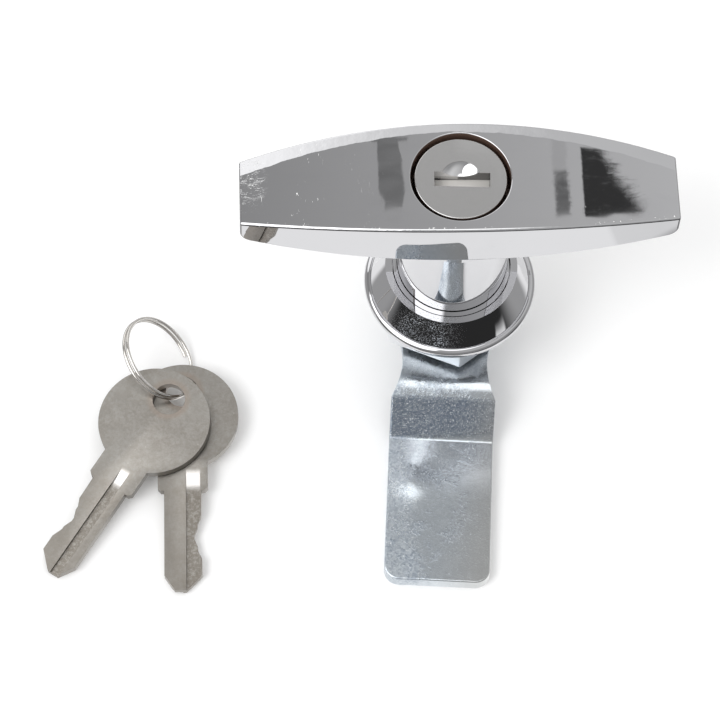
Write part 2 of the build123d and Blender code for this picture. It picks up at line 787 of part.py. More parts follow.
def key_2():
    """Lower key, its bitted edge to the right."""
    return lying((key_2_x, key_2_y, key_2_height), key_2_turn, Pos(0, -key_hole_offset) * key_blank())


def helix_point(angle):
    """Point and direction of the split ring's wire at an angle in radians from its start."""
    turned = angle + radians(ring_end_angle)
    climb = ring_pitch / (2 * pi)
    point = Vector(
        ring_radius * cos(turned), ring_radius * sin(turned), climb * (angle - pi * ring_turns)
    )
    direction = Vector(-ring_radius * sin(turned), ring_radius * cos(turned), climb).normalized()
    return point, direction


def biarc(start, start_dir, end, end_dir):
    """Two arcs that meet smoothly and leave both ends in their directions."""
    chord = end - start
    total = start_dir + end_dir
    a = 2 * (1 - start_dir.dot(end_dir))
    b = chord.dot(total)
    reach = (sqrt(b * b + a * chord.dot(chord)) - b) / a
    joint = (start + end + (start_dir - end_dir) * reach) / 2
    joint_dir = (joint - start - start_dir * reach).normalized()
    return [Edge.make_tangent_arc(start, start_dir, joint), Edge.make_tangent_arc(joint, joint_dir, end)]


def least_gap(edges):
    """Least gap of the wire to itself, measured between points that lie over a quarter turn apart."""
    steps = 12
    points = [edge.position_at(i / steps) for edge in edges for i in range(steps)]
    apart = int(len(points) / ring_turns / 4)
    gaps = [
        (points[j] - points[i]).length for i in range(len(points)) for j in range(i + apart, len(points))
    ]
    return min(gaps) - 2 * ring_wire_radius


def split_ring():
    """Nearly two turns of wire side by side, each quarter turn a pair of arcs."""
    quarters = 8
    span = 2 * pi * ring_turns / quarters
    edges = []
    for i in range(quarters):
        start, start_dir = helix_point(i * span)
        end, end_dir = helix_point((i + 1) * span)
        edges += biarc(start, start_dir, end, end_dir)
    start, start_dir = helix_point(0)
    section = Plane(origin=start, z_dir=start_dir) * Circle(ring_wire_radius)
    print("split ring: least gap between its turns", round(least_gap(edges), 3), "mm")
    tilt = cos(radians(ring_turn[1])) * cos(radians(ring_turn[2]))
    height = ring_lift + ring_radius * sqrt(1 - tilt**2) + ring_wire_radius
    return lying((ring_x, ring_y, height), ring_turn, sweep(section, Wire(edges)))


def turned_with_plug(shape):
    """Turns a piece of the plug by the plug's small rest angle."""
    return Rot(Z=plug_rest_turn) * shape


nodes = {
    "escutcheon_housing": escutcheon_housing(),
    "hex_nut": hex_nut(),
    "t_handle": t_handle(),
    "stem_o_ring": stem_o_ring(),
    "plug_retaining_pin": retaining_pin(),
    "stop_washer": stop_washer(),
    "cam": cam(),
    "flat_washer": flat_washer(),
    "spring_washer": spring_washer(),
    "cam_screw": cam_screw(),
    "lock_plug": turned_with_plug(lock_plug()),
    "plug_face": turned_with_plug(plug_face()),
    "bolt_driver": turned_with_plug(bolt_driver()),
    "locking_bolt": locking_bolt(),
    "dust_shutter": turned_with_plug(dust_shutter()),
    "shutter_pin": turned_with_plug(shutter_pin()),
    "shutter_spring": turned_with_plug(shutter_spring()),
    "split_ring": split_ring(),
    "key_1": key_1(),
    "key_2": key_2(),
}
for number, height in enumerate(wafer_heights()):
    nodes[f"wafer_{number + 1}"] = turned_with_plug(wafer(number, height))
    nodes[f"wafer_spring_{number + 1}"] = turned_with_plug(wafer_spring(height))

for name, shape in nodes.items():
    export_step(shape, f"parts/{name}.step")
    print(name, round(shape.volume, 2))
print("table", round(table_z, 3), "bolt travel", round(bolt_travel, 4))
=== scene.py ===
import math

import bmesh
import bpy
from mathutils import Matrix, Vector


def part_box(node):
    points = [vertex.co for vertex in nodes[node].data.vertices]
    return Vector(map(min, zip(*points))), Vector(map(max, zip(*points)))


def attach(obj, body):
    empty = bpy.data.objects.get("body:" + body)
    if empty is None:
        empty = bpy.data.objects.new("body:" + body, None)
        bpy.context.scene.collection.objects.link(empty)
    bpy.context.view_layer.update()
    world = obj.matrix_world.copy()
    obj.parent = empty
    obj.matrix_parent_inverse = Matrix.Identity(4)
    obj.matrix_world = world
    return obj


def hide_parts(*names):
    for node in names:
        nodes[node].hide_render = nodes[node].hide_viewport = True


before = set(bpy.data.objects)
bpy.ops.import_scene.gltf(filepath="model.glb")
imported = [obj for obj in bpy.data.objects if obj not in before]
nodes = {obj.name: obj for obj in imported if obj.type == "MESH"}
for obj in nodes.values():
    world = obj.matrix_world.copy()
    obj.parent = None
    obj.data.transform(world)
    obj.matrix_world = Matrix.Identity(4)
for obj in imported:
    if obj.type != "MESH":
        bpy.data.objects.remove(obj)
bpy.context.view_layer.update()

scene = bpy.context.scene
print("frame loaded:", len(nodes), "pieces")

# Camera, as the lock was photographed: turned a little to the left, looking steeply down

viewpoint = {
    "azimuth": -4.98,       # degrees, seen from the front, to the right
    "elevation": 62.34,
    "roll": -3.59,
    "eye": (-0.04762, -0.3375, 0.61067),
    "lens": 162.5,          # millimetres, on a sensor 36 mm wide
}


def placeCamera(look):
    turn, lift, roll = (math.radians(look[k]) for k in ("azimuth", "elevation", "roll"))
    back = Vector((math.sin(turn) * math.cos(lift), -math.cos(turn) * math.cos(lift), math.sin(lift)))
    right = Vector((math.cos(turn), math.sin(turn), 0))
    rows = Matrix.Rotation(roll, 3, "Z") @ Matrix((right, back.cross(right), back))
    data = bpy.data.cameras.new("photoCamera")
    data.sensor_width, data.lens = 36, look["lens"]
    data.clip_start, data.clip_end = 0.01, 20
    camera = bpy.data.objects.new("photoCamera", data)
    camera.matrix_world = Matrix.Translation(look["eye"]) @ rows.transposed().to_4x4()
    scene.collection.objects.link(camera)
    scene.camera = camera


placeCamera(viewpoint)
scene.view_settings.view_transform = "Standard"
print("camera placed")


# Node maths: a signal is one output of a node, and plain operators on signals add the Math nodes

class Signal:
    def __init__(self, graph, socket):
        self.graph, self.socket = graph, socket

    def maths(self, operation, *others):
        values = dict(enumerate((self,) + others))
        return self.graph.add("ShaderNodeMath", {"operation": operation}, values)

    def flipped(self, operation, other):
        return self.graph.add("ShaderNodeMath", {"operation": operation}, {0: other, 1: self})

    def __add__(self, other):
        return self.maths("ADD", other)

    def __sub__(self, other):
        return self.maths("SUBTRACT", other)

    def __mul__(self, other):
        return self.maths("MULTIPLY", other)

    def __truediv__(self, other):
        return self.maths("DIVIDE", other)

    def __pow__(self, other):
        return self.maths("POWER", other)

    def __rsub__(self, other):
        return self.flipped("SUBTRACT", other)

    def __rtruediv__(self, other):
        return self.flipped("DIVIDE", other)

    def __neg__(self):
        return self * -1

    def __abs__(self):
        return self.maths("ABSOLUTE")

    __radd__ = __add__
    __rmul__ = __mul__

    def step(self, start, end):  # soft step from 0 at start to 1 at end
        values = {0: self, 1: start, 2: end, 3: 0.0, 4: 1.0}
        return self.graph.add("ShaderNodeMapRange", {"interpolation_type": "SMOOTHSTEP"}, values)

    def within(self, low, high, soft):  # 1 between low and high, fading over soft
        return self.step(low - soft, low + soft) * (1 - self.step(high - soft, high + soft))

    def atLeast(self, other):
        return self.maths("MAXIMUM", other)

    def atMost(self, other):
        return self.maths("MINIMUM", other)

    def clipped(self):  # held between 0 and 1
        return self.atLeast(0.0).atMost(1.0)


class Graph:
    def __init__(self, tree):
        self.tree = tree
        tree.nodes.clear()

    def add(self, kind, settings=None, values=None, output=0):
        node = self.tree.nodes.new(kind)
        for key, value in (settings or {}).items():
            setattr(node, key, value)
        for key, value in (values or {}).items():
            if isinstance(value, Signal):
                self.tree.links.new(value.socket, node.inputs[key])
            else:
                node.inputs[key].default_value = value
        return Signal(self, node.outputs[output]) if node.outputs else None

    def point(self, x=0.0, y=0.0, z=0.0):
        return self.add("ShaderNodeCombineXYZ", None, {0: x, 1: y, 2: z})


class Finish(Graph):
    def __init__(self, name):
        self.material = bpy.data.materials.new(name)
        self.material.use_nodes = True
        super().__init__(self.material.node_tree)

    def place(self, shift=(0, 0, 0), turn=(0, 0, 0)):  # the piece's own coordinates, in metres
        here = self.add("ShaderNodeTexCoord", output=3)
        if not any(shift) and not any(turn):
            return here
        shifted = self.add("ShaderNodeVectorMath", {"operation": "SUBTRACT"}, {0: here, 1: shift})
        settings = {"rotation_type": "EULER_XYZ", "invert": True}
        return self.add("ShaderNodeVectorRotate", settings, {0: shifted, 4: [math.radians(a) for a in turn]})

    def axes(self, vector):
        split = self.add("ShaderNodeSeparateXYZ", None, {0: vector})
        return [split] + [Signal(self, split.socket.node.outputs[i]) for i in (1, 2)]

    def stretch(self, vector, scale):
        return self.add("ShaderNodeVectorMath", {"operation": "MULTIPLY"}, {0: vector, 1: scale})

    def noise(self, vector, scale, detail=3.0, roughness=0.55, warp=0.0):
        values = {"Vector": vector, "Scale": scale}
        values.update({"Detail": detail, "Roughness": roughness, "Distortion": warp})
        return self.add("ShaderNodeTexNoise", {"noise_dimensions": "3D"}, values)

    def cells(self, vector, scale, output=0):
        values = {"Vector": vector, "Scale": scale}
        return self.add("ShaderNodeTexVoronoi", {"feature": "F1"}, values, output)

    def mix(self, factor, first, second):
        return self.add("ShaderNodeMix", {"data_type": "RGBA"}, {0: factor, 6: first, 7: second}, 2)

    def surface(self, values, height=None, depth=0.0, constant=None):
        if height is not None:
            bump = {"Strength": 1.0, "Distance": depth, "Height": height}
            values["Normal"] = self.add("ShaderNodeBump", None, bump)
        values.update(constant or {})
        shader = self.add("ShaderNodeBsdfPrincipled", None, values)
        self.add("ShaderNodeOutputMaterial", None, {"Surface": shader})
        return self.material

    def glow(self, level):  # a surface that shines with a grey level, 1 as white paper
        brightest = 4.0
        colour = self.mix(level / brightest, grey(0.0), grey(1.0))
        light = self.add("ShaderNodeEmission", None, {"Color": colour, "Strength": brightest})
        self.add("ShaderNodeOutputMaterial", None, {"Surface": light})
        return self.material


class Recipe(Graph):  # a Geometry Nodes tree with named sizes
    def __init__(self, name, sizes):
        super().__init__(bpy.data.node_groups.new(name, "GeometryNodeTree"))
        face = self.tree.interface
        face.new_socket("Geometry", in_out="OUTPUT", socket_type="NodeSocketGeometry")
        self.sockets = {}
        for key, value in sizes.items():
            kind = "NodeSocketInt" if isinstance(value, int) else "NodeSocketFloat"
            self.sockets[key] = face.new_socket(key, in_out="INPUT", socket_type=kind)
            self.sockets[key].default_value = value
        start = self.tree.nodes.new("NodeGroupInput")
        self.sizes = {key: Signal(self, start.outputs[key]) for key in sizes}

    def end(self, geometry, material):
        real = self.add("GeometryNodeRealizeInstances", None, {0: geometry})
        painted = self.add("GeometryNodeSetMaterial", None, {"Geometry": real, "Material": material})
        self.add("NodeGroupOutput", None, {0: painted})

    def make(self, name, values):  # runs the tree and keeps its result as a plain mesh
        piece = meshObject(name, [], [], None)
        modifier = piece.modifiers.new("recipe", "NODES")
        modifier.node_group = self.tree
        for key, value in values.items():
            modifier[self.sockets[key].identifier] = value
        return settled(piece)


def grey(level):
    return (level, level, level, 1.0)


def meshObject(name, verts, faces, material, smooth=False):
    mesh = bpy.data.meshes.new(name)
    mesh.from_pydata(verts, [], faces)
    if material:
        mesh.materials.append(material)
    mesh.polygons.foreach_set("use_smooth", [smooth] * len(mesh.polygons))
    mesh.update()
    thing = bpy.data.objects.new(name, mesh)
    scene.collection.objects.link(thing)
    return thing


def settled(piece):  # turns live modifiers into the mesh itself
    graph = bpy.context.evaluated_depsgraph_get()
    mesh = bpy.data.meshes.new_from_object(piece.evaluated_get(graph), depsgraph=graph)
    piece.modifiers.clear()
    piece.data = mesh
    return piece


# Stage: table, a studio tent that only reflections see, and one soft lamp

studio = {
    "tableHeight": -0.02107,
    "nearTable": 0.052,            # radius of the paper that reflections see as it is, metres
    "farTable": 6.0,
    "paper": 0.95,
    "sky": 0.98,
    "lampAt": (-0.8, -0.5, 1.1), "lampSize": 0.7, "lampPower": 8.0,
}

# The table further out as reflections see it: a sheet of paper that ends in the dark of the room.
# Pairs are both ends of a soft edge, in metres from the lock's axis.
farPaper = {
    "reach": 0.9,
    # the table round the keys is darker: painted shadow of the keys
    "bright": 1.08, "keysShadow": 0.62,
    "besides": 0.42,               # brightness of the table at both sides of the flange
    "ahead": 0.03,                 # and in front of it
    "aheadEnds": (-0.055, -0.008),
    "sheetSides": (0.052, 0.062), "sheetFront": (-0.088, -0.076),
    "stripSides": (0.038, 0.048), "stripFront": (-0.138, -0.124),
    "wingSides": (0.082, 0.094), "wingFront": -0.0725, "wingBack": -0.046, "wingFade": 0.003,
    "rightWing": (0.03, 0.06), "rightWingShade": 0.16,
    "keysAt": (-0.0665, -0.037), "keysSpan": (0.027, 0.033), "keysEdge": (0.85, 1.1),
}

# Brightness of the tent's parts, 1 as white paper. Pairs are both ends of a soft edge: across and
# along on a flat ceiling one metre up, or as heights and depths on a globe of radius 1.
tent = {
    "radius": 3.0,
    "topLeft": 0.30, "topRight": 0.66, "topSpread": (-0.95, 1.1),
    "rear": 0.88, "rearEdge": (0.66, 0.70),
    "rearLeft": 0.45, "rearLeftEdge": (-0.55, 0.0),       # lighter than the rear by this
    "rearRight": 0.2, "rearRightEdge": (0.0, 0.45),       # darker than the rear by this
    "overhead": 1.7, "overheadEdge": (0.94, 0.99),
    "sides": 0.42, "sidesTop": (0.2, 0.55),
    "front": 0.30, "frontEdge": (0.2, -0.45), "frontTop": (0.35, 0.75),
    "softbox": 2.3, "softboxAt": (-0.647, -0.252, 0.72), "softboxEdge": (0.80, 0.85),
}

# Dark marks with hairy edges, which the face of the handle mirrors. Places across are on the same
# ceiling, and rows are strips of the face, about 1.2 mm wide, from its middle to the rear.
darkMarks = {
    "middleRow": 0.5835, "rowHeight": 0.0021, "bend": 0.25,
    "first": (-0.111, -0.066), "firstRows": (-6.8, 10.2),
    "narrowed": 0.014, "narrowRows": (-4.5, -1.5),        # the first streak near the front
    "flare": (-0.122, -0.040), "flareRows": (9.5, 10.8),
    "second": (0.309, 0.345), "secondRows": (-9.8, 9.0),
    "faint": 0.12, "faintRows": (1.0, 3.0),               # the second streak towards the rear
    "patchLeft": (0.382, 0.387), "patchRight": (0.487, 0.499), "patchSlant": 0.0063,
    "patchRows": (-10.4, 7.4), "patch": 0.045,
}


def around(radius, height, count=96):
    turns = [2 * math.pi * i / count for i in range(count)]
    return [(radius * math.cos(t), radius * math.sin(t), height) for t in turns]


def hideFromAllButMirrors(thing):
    thing.visible_camera = thing.visible_diffuse = False
    thing.visible_shadow = thing.visible_transmission = False


def laid(level, mask, value):  # value where mask is 1, level elsewhere
    return level * (1 - mask) + mask * value


def paperLevel(mirror, paper):
    x, y = mirror.axes(mirror.place())[:2]
    sheet = (1 - abs(x).step(*paper["sheetSides"])) * y.step(*paper["sheetFront"])
    strip = (1 - abs(x).step(*paper["stripSides"])) * y.step(*paper["stripFront"])
    wings = 1 - abs(x).step(*paper["wingSides"])
    wings = wings * y.within(paper["wingFront"], paper["wingBack"], paper["wingFade"])
    wings = wings * (1 - x.step(*paper["rightWing"]) * paper["rightWingShade"])
    areas = zip((x, y), paper["keysAt"], paper["keysSpan"])
    away = [(axis - centre) / span for axis, centre, span in areas]
    # painted shadow of the keys on the table that reflections see
    keysShadow = 1 - (away[0] ** 2 + away[1] ** 2).step(*paper["keysEdge"])
    beyond = laid(paper["ahead"], y.step(*paper["aheadEnds"]), paper["besides"])
    beyond = laid(beyond, keysShadow, paper["keysShadow"])
    return laid(beyond, sheet.atLeast(strip).atLeast(wings), paper["bright"])


def layTable(sizes, paper):
    finish = Finish("tablePaper")
    grain = finish.noise(finish.place(), 900.0, 2.0)
    tone = finish.mix(grain, grey(sizes["paper"] - 0.01), grey(sizes["paper"]))
    material = finish.surface({"Base Color": tone}, constant={"Roughness": 0.9, "Specular IOR Level": 0.1})
    near = around(sizes["nearTable"], sizes["tableHeight"])
    far = around(sizes["farTable"], sizes["tableHeight"])
    count = len(near)
    rim = [(i, count + i, count + (i + 1) % count, (i + 1) % count) for i in range(count)]
    inner = meshObject("tableNear", near, [list(range(count))], material)
    outer = meshObject("tableFar", near + far, rim, material)
    outer.visible_glossy = False
    mirror = Finish("tableInMirror")
    glow = mirror.glow(paperLevel(mirror, paper))
    apron = meshObject("tableInMirror", near + around(paper["reach"], sizes["tableHeight"]), rim, glow)
    hideFromAllButMirrors(apron)


def tentMesh(radius, material, rings=24, count=48):
    verts, faces = [], []
    for i in range(rings + 1):
        lift = math.pi * (i / rings - 0.5)
        verts += around(radius * math.cos(lift), radius * math.sin(lift), count)
    for i in range(rings):
        for j in range(count):
            k = (j + 1) % count
            faces.append((i * count + j, i * count + k, (i + 1) * count + k, (i + 1) * count + j))
    return meshObject("studioTent", verts, faces, material)


def streaked(cloth, ceiling, across, row, marks):
    hair = cloth.noise(cloth.point(across * 7.0, row * 4.2), 1.0, 2.0, 0.7) - 0.5
    uneven = cloth.noise(cloth.point(across * 8.0, row * 0.35), 1.0, 2.0)
    low, high = marks["first"]
    frayed = across + hair * 0.010
    narrower = frayed - (1 - row.step(*marks["narrowRows"])) * marks["narrowed"]
    first = narrower.step(low - 0.002, low + 0.002) * (1 - frayed.step(high - 0.002, high + 0.002))
    first = first * row.within(*marks["firstRows"], 0.3)
    flare = (across + hair * 0.02).within(*marks["flare"], 0.004) * row.within(*marks["flareRows"], 0.15)
    second = (across + hair * 0.05).within(*marks["second"], 0.002)
    second = second * row.within(*marks["secondRows"], 0.5)
    left = (across + hair * 0.016).step(*marks["patchLeft"])
    right = (across + hair * 0.20 + row * marks["patchSlant"]).step(*marks["patchRight"])
    patch = left * (1 - right) * row.within(*marks["patchRows"], 0.3)
    ceiling = ceiling * (1 - first.atLeast(flare) * (uneven * 0.45 + 0.28))
    nearRows = 1 - row.step(*marks["faintRows"])
    ceiling = ceiling * (1 - second * (marks["faint"] + nearRows * (uneven * 0.75 + 0.12)).atMost(0.90))
    return laid(ceiling, patch * (1 - hair.step(0.14, 0.2) * 0.4), marks["patch"])


def hangTent(bright, marks):
    cloth = Finish("studioTent")
    x, y, z = cloth.axes(cloth.add("ShaderNodeVectorMath", {"operation": "NORMALIZE"}, {0: cloth.place()}))
    up = z.atLeast(0.05)
    across, along = x / up, y / up
    bent = along - across * across * marks["bend"]
    row = (bent - marks["middleRow"]) / marks["rowHeight"]
    ceiling = laid(bright["topLeft"], across.step(*bright["topSpread"]), bright["topRight"])
    ceiling = streaked(cloth, ceiling, across, row, marks)
    rear = bent.step(*bright["rearEdge"])
    rearLevel = (1 - across.step(*bright["rearLeftEdge"])) * bright["rearLeft"] + bright["rear"]
    rearLevel = rearLevel - across.step(*bright["rearRightEdge"]) * bright["rearRight"]
    level = laid(ceiling, z.step(*bright["overheadEdge"]), bright["overhead"])
    level = laid(level, rear, rearLevel)
    level = laid(level, (1 - z.step(*bright["sidesTop"])) * (1 - rear), bright["sides"])
    front = y.step(*bright["frontEdge"]) * (1 - z.step(*bright["frontTop"]))
    level = laid(level, front, bright["front"])
    towards = sum(axis * part for axis, part in zip((x, y, z), bright["softboxAt"]))
    level = laid(level, towards.step(*bright["softboxEdge"]), bright["softbox"])
    dome = tentMesh(bright["radius"], cloth.glow(level))
    hideFromAllButMirrors(dome)


def hangLamp(sizes):
    data = bpy.data.lights.new("keyLight", "AREA")
    data.shape, data.size, data.energy = "SQUARE", sizes["lampSize"], sizes["lampPower"]
    lamp = bpy.data.objects.new("keyLight", data)
    place = Vector(sizes["lampAt"])
    lamp.matrix_world = Matrix.Translation(place) @ (-place).to_track_quat("-Z", "Y").to_matrix().to_4x4()
    lamp.visible_glossy = False
    scene.collection.objects.link(lamp)


def fillSky(level):
    world = bpy.data.worlds.new("paleStudio")
    world.use_nodes = True
    world.node_tree.nodes["Background"].inputs[0].default_value = grey(level)
    scene.world = world


layTable(studio, farPaper)
hangTent(tent, darkMarks)
fillSky(studio["sky"])
hangLamp(studio)
print("stage set")


# Handle and housing: polished chrome on a zinc casting, pitted and scratched by handling.
# Here and below, pairs are both ends of a soft edge, in metres, and a third number there is the
# softness of both edges of a band. Sizes of grains and clouds are scales: the larger, the finer.

chromeLook = {
    "colour": (0.67, 0.67, 0.685, 1), "dull": (0.40, 0.41, 0.43, 1), "speck": (0.93, 0.93, 0.92, 1),
    "pitted": (0.45, 0.50, 0.57, 1), "recessWall": (0.11, 0.068, 0.052, 1),
    "smears": 0.10, "scratches": 0.05, "pits": 0.8,             # how far these change the colour
    "polish": 0.014, "haze": 0.10, "markRough": 0.4, "pitRough": 0.35, "recessRough": 0.4,
    "peelSize": 140.0, "peelDepth": 0.00001,
    "smearSize": 45.0, "fineSize": 260.0, "crossedSize": 240.0, "gateSize": 130.0,
}

handleForm = {
    "arcRadius": 0.1902, "arcCentre": 0.1774,                   # the bar's two long edges
    "faceTop": 0.04415, "crownRadius": 0.1885,
    "faceEnds": (0.00035, 0.0007),                              # below the crown
    "recessEdge": (0.0103, 0.01038), "recessFloor": (0.036, 0.037),
    "worn": (-0.034, -0.012),                                   # the left half is handled most
    "scuffedEnd": (-0.0425, -0.0385), "scuffedRear": (-0.006, 0.001),
    "chips": (0.0004, 0.0009, 0.0001),                          # behind the front edge
    "nickSize": 420.0, "arcSize": 420.0, "hairSize": 420.0, "chipSize": 1600.0,
    "dubbed": 0.0016, "dubbedWaves": 0.0009, "dubbing": 0.10,   # the rear edge, rounded by polishing
    "underside": 0.0295, "draft": 0.098,                        # the cast sides lean in towards the face
}

housingForm = {
    "pittedFront": (-0.013, -0.009), "pittedLeft": (-0.004, 0.003), "pittedFoot": (0.0015, 0.002),
    "pockSize": 1300.0, "cloudSize": 260.0, "pitSize": 3600.0,
}


def fromAxis(x, y):
    return (x * x + y * y) ** 0.5


def wearHandle(finish, here, gate, form):
    x, y, z = finish.axes(here)
    worn = 1 - x.step(*form["worn"])
    scuffed = (1 - x.step(*form["scuffedEnd"])) * y.step(*form["scuffedRear"])
    belowCrown = form["faceTop"] - x * x / (2 * form["crownRadius"]) - z
    onFace = 1 - belowCrown.step(*form["faceEnds"])
    frontEdge = form["arcRadius"] - fromAxis(x, y - form["arcCentre"])
    rearEdge = form["arcRadius"] - fromAxis(x, y + form["arcCentre"])
    dots = 1 - finish.cells(here, form["nickSize"]).step(0.06, 0.12)
    nicks = dots * gate.step(0.62, 0.70) * (0.25 + worn * 0.75)
    arcs = finish.noise(finish.stretch(here, (7, 1, 3)), form["arcSize"], 1.0, 0.5, 1.5).step(0.70, 0.74)
    arcs = arcs * worn * finish.noise(here, 200.0).step(0.5, 0.6)
    hairs = finish.noise(finish.stretch(here, (2, 9, 1)), form["hairSize"], 3.0, 0.7, 1.5).step(0.56, 0.62)
    scuffs = hairs * scuffed * finish.noise(here, 500.0).step(0.38, 0.54) * 0.9
    chips = frontEdge.within(*form["chips"]) * gate.step(0.5, 0.52)
    chips = chips * finish.noise(here, form["chipSize"]).step(0.62, 0.66)
    marks = ((nicks + arcs + scuffs + chips) * onFace).atMost(1.0)
    band = abs(x) * 0.03 + finish.noise(here, 300.0, 3.0) * form["dubbedWaves"] + form["dubbed"]
    rounded = (band - rearEdge).atLeast(0.0) * onFace
    recess = (1 - fromAxis(x, y).step(*form["recessEdge"])) * z.step(*form["recessFloor"])
    leaning = [(rounded, form["dubbing"]), (z.atLeast(form["underside"]), form["draft"])]
    return marks, 0.0, recess, leaning


def wearHousing(finish, here, gate, form):
    x, y, z = finish.axes(here)
    front = (1 - y.step(*form["pittedFront"])) * (1 - x.step(*form["pittedLeft"]))
    front = front * z.step(*form["pittedFoot"])
    pocks = (1 - finish.cells(here, form["pockSize"]).step(0.06, 0.14)) * gate.step(0.50, 0.60) * front
    cloud = finish.noise(here, form["cloudSize"], 2.0).step(0.30, 0.62) * 0.55 + 0.35
    pits = finish.noise(here, form["pitSize"], 2.0, 0.7).step(0.50, 0.62) * front * cloud
    return pocks, pits, 0.0, []


def makeChrome(name, look, wear, form):
    finish = Finish(name)
    here = finish.place()
    smear = finish.noise(finish.stretch(here, (1, 2.5, 1)), look["smearSize"], 4.0, 0.6).step(0.48, 0.8)
    fine = finish.noise(finish.stretch(here, (1, 22, 8)), look["fineSize"], 2.0, 0.6).step(0.66, 0.76)
    crossed = finish.noise(finish.stretch(here, (16, 2, 8)), look["crossedSize"], 2.0, 0.6).step(0.68, 0.78)
    scratch = (fine + crossed).atMost(1.0)
    gate = finish.noise(here, look["gateSize"], 2.0)            # marks gather where it is high
    height = finish.noise(here, look["peelSize"], 1.0) * 0.6
    marks, pits, recess, leaning = wear(finish, here, gate, form)
    for amount, slope in leaning:                               # forms that only the shading has
        height = height - amount * (slope / look["peelDepth"])
    colour = finish.mix(smear * look["smears"] + scratch * look["scratches"], look["colour"], look["dull"])
    colour = finish.mix(pits * look["pits"], colour, look["pitted"])
    colour = finish.mix(marks, colour, look["speck"])
    colour = finish.mix(recess, colour, look["recessWall"])
    rough = smear * (look["haze"] * 0.2) + scratch * (look["haze"] * 0.4) + look["polish"]
    rough = rough + marks * look["markRough"] + pits * look["pitRough"] + recess * look["recessRough"]
    metal = 1 - marks * 0.8 - recess * 0.75 - pits * 0.3
    values = {"Base Color": colour, "Roughness": rough, "Metallic": metal}
    return finish.surface(values, height - marks * 0.5, look["peelDepth"])


# Nut: turned and plated, duller than the castings

nutLook = {
    "colour": (0.92, 0.93, 0.94, 1), "shade": (0.76, 0.77, 0.79, 1), "clouds": 180.0,
    "drawn": 1500.0, "turned": 2600.0, "lineDepth": 0.00001,
    "rough": 0.22, "lineRough": 0.18,
}


def makeNut(name, look):
    finish = Finish(name)
    here = finish.place()
    x, y, z = finish.axes(here)
    drawn = finish.noise(finish.stretch(here, (1, 1, 0.15)), look["drawn"], 3.0)
    turned = finish.noise(finish.point(fromAxis(x, y), 0.0, z), look["turned"], 2.0)
    cloud = finish.noise(here, look["clouds"], 3.0)
    colour = finish.mix(cloud * 0.8, look["colour"], look["shade"])
    values = {"Base Color": colour, "Roughness": look["rough"] + drawn * look["lineRough"]}
    return finish.surface(values, drawn + turned * 0.6, look["lineDepth"], {"Metallic": 1.0})


# Cam, washers and screw: bright zinc plate with crystal grain. Painted shade darkens the cam's bent slope
# and right side, and painted glints lie on the slope

zincLook = {
    "pale": (0.70, 0.75, 0.785, 1), "deep": (0.27, 0.32, 0.39, 1), "speckAndGlint": (0.92, 0.95, 0.97, 1),
    # the next two colours are painted shade: for the blade's right side and for the bent slope
    "rightShade": (0.60, 0.60, 0.585, 1), "slopeShade": (0.14, 0.17, 0.22, 1),
    "smooth": 0.10, "coarse": 0.42, "hubRough": 0.12, "speckAndGlintRough": 0.1,
    "grain": 2600.0, "grainDepth": 0.00002, "swell": 70.0, "swellDepth": 0.00025,
    "clouds": 150.0, "specks": 2400.0, "glints": 4600.0,
    "dentAt": (-0.0092, -0.0384), "dentSize": 0.0034, "dentDepth": 0.00062,
    "slope": (-0.0283, -0.0202, 0.0008), "slopeTop": (-0.0125, -0.0118),
    "leftEdge": (-0.0125, -0.0085), "rightSide": (0.008, 0.022), "hub": (-0.0185, -0.0165),
}


def makeZinc(name, look):
    finish = Finish(name)
    here = finish.place()
    x, y, z = finish.axes(here)
    crystals = finish.axes(finish.cells(here, look["grain"], 1))[0]
    bed = finish.noise(here, look["grain"] * 0.55, 3.0, 0.7)
    cloud = finish.noise(here, look["clouds"], 4.0, 0.65)
    wide = finish.noise(here, look["swell"], 2.0, 0.45)
    stray = finish.noise(finish.stretch(here, (5, 1, 2)), 700.0, 1.0, 0.5, 2.0).step(0.69, 0.73)
    specks = finish.noise(here, look["specks"], 2.0).step(0.62, 0.68)
    slope = y.within(*look["slope"]) * (1 - z.step(*look["slopeTop"]))
    left = 1 - (x + y * 0.03).step(*look["leftEdge"])          # the blade is rougher along its left edge
    right = (x - y * 0.25).step(*look["rightSide"])
    coarse = (slope + left * 0.7 + cloud.step(0.50, 0.62) * 0.5).atMost(1.0) * (1 - right * 0.7)
    # the slope also darkens the tone here: painted shade
    tone = (crystals * (0.10 + coarse * 0.5) + cloud * 0.7 - 0.17 + slope * 0.28).clipped()
    colour = finish.mix(tone, look["pale"], look["deep"])
    # painted shade on the bent slope: a dark blue-grey tone, broken up by the grain
    colour = finish.mix(slope * (0.42 + bed.step(0.42, 0.58) * 0.25), colour, look["slopeShade"])
    # painted shade: the blade's right side is coloured darker and less blue
    colour = finish.mix(right * 0.8, colour, look["rightShade"])
    # painted glints: white points of highlight on the slope
    glints = finish.noise(here, look["glints"], 1.0).step(0.60, 0.66) * slope
    # white marks: the grain's specks and stray scratches, together with the painted glints
    speckAndGlint = (specks * (0.12 + coarse * 0.50) + stray * 0.35 + glints * 0.55).atMost(1.0)
    colour = finish.mix(speckAndGlint, colour, look["speckAndGlint"])
    rough = look["smooth"] + (coarse * 0.6 + cloud * 0.3) * (look["coarse"] - look["smooth"])
    rough = rough + y.step(*look["hub"]) * look["hubRough"] + speckAndGlint * look["speckAndGlintRough"]
    away = (x - look["dentAt"][0]) ** 2 + (y - look["dentAt"][1]) ** 2
    dent = (away / -(look["dentSize"] ** 2)).maths("EXPONENT") * (look["dentDepth"] / look["grainDepth"])
    grain = (crystals * 0.6 + bed * 1.2) * (0.35 + coarse * 1.9)
    height = grain + wide * (look["swellDepth"] / look["grainDepth"]) + dent
    values = {"Base Color": colour, "Roughness": rough}
    return finish.surface(values, height, look["grainDepth"], {"Metallic": 1.0})
